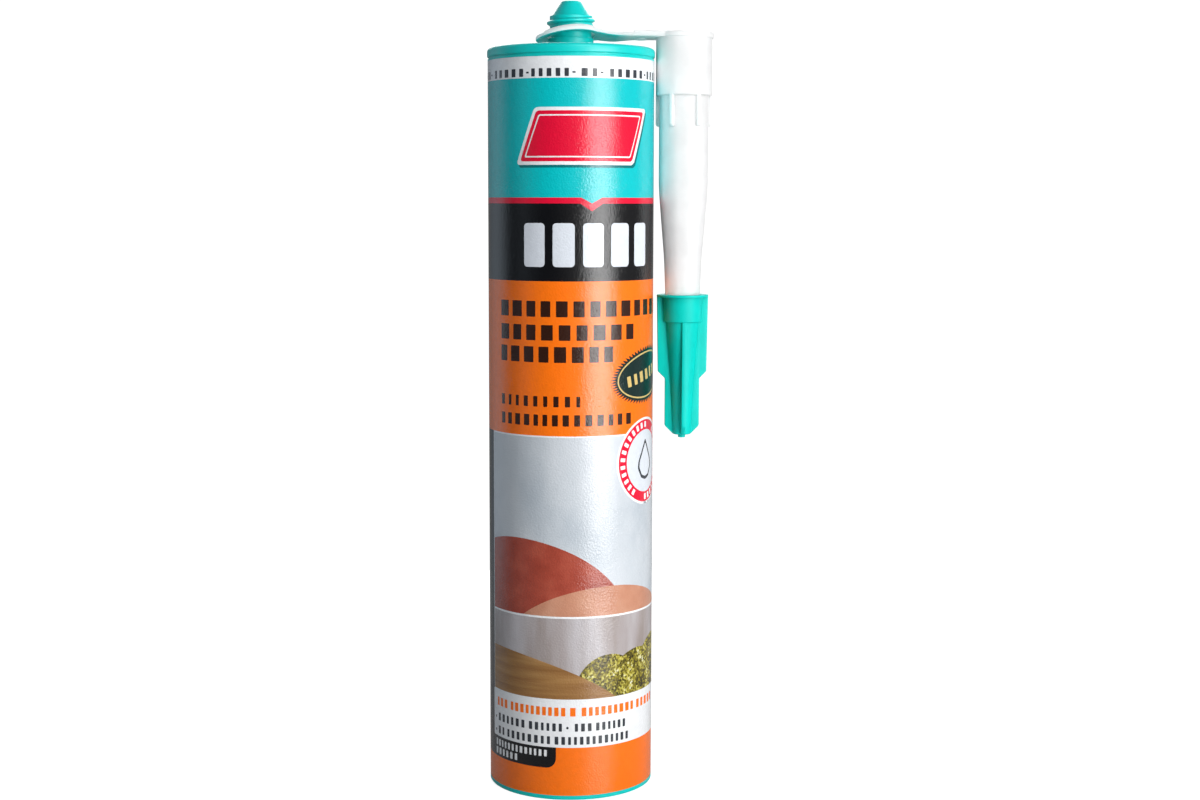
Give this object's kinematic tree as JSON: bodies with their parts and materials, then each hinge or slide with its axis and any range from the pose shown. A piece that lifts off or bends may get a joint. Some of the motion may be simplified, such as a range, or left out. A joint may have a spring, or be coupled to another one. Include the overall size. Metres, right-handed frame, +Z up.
{
  "type": "caulk tube",
  "caption": "Sealant cartridge for a caulking gun: printed barrel with a closed threaded nipple, a rear piston, and a capped nozzle hung beside it on a swivelling strap.",
  "frame": {"origin": "on the barrel's axis, in the plane of the open rear rim that the tube stands on", "axes": "+Z up the barrel to the nipple, +X towards the hanging nozzle"},
  "size_m": [0.0673, 0.0498, 0.2352],
  "materials": {
    "cartridge": "satin moulded teal polyethylene",
    "label": "glossy printed film, bands of white, teal, red, black, orange and pale grey",
    "sealant": "off-white paste",
    "piston": "natural polyethylene",
    "nozzle": "translucent white polyethylene",
    "nozzle_cap": "satin moulded teal polyethylene"
  },
  "bodies": {
    "barrel": {"cartridge": "cartridge", "label": "label", "sealant": "sealant"},
    "piston": {"piston": "piston"},
    "nozzle": {"nozzle": "nozzle"},
    "cap": {"nozzle_cap": "nozzle_cap"}
  },
  "joints": [
    {"name": "piston_slide", "type": "slide", "parent": "barrel", "child": "piston", "axis": [0, 0, 1], "range_m": [0, 0.175], "deforming": ["sealant"]},
    {"name": "nozzle_swivel", "type": "hinge", "parent": "barrel", "child": "nozzle", "pos_m": [0, 0, 0.2259], "axis": [0, 0, 1], "continuous": true},
    {"name": "cap_slide", "type": "slide", "parent": "nozzle", "child": "cap", "axis": [0, 0, -1], "range_m": [0, 0.045]}
  ]
}
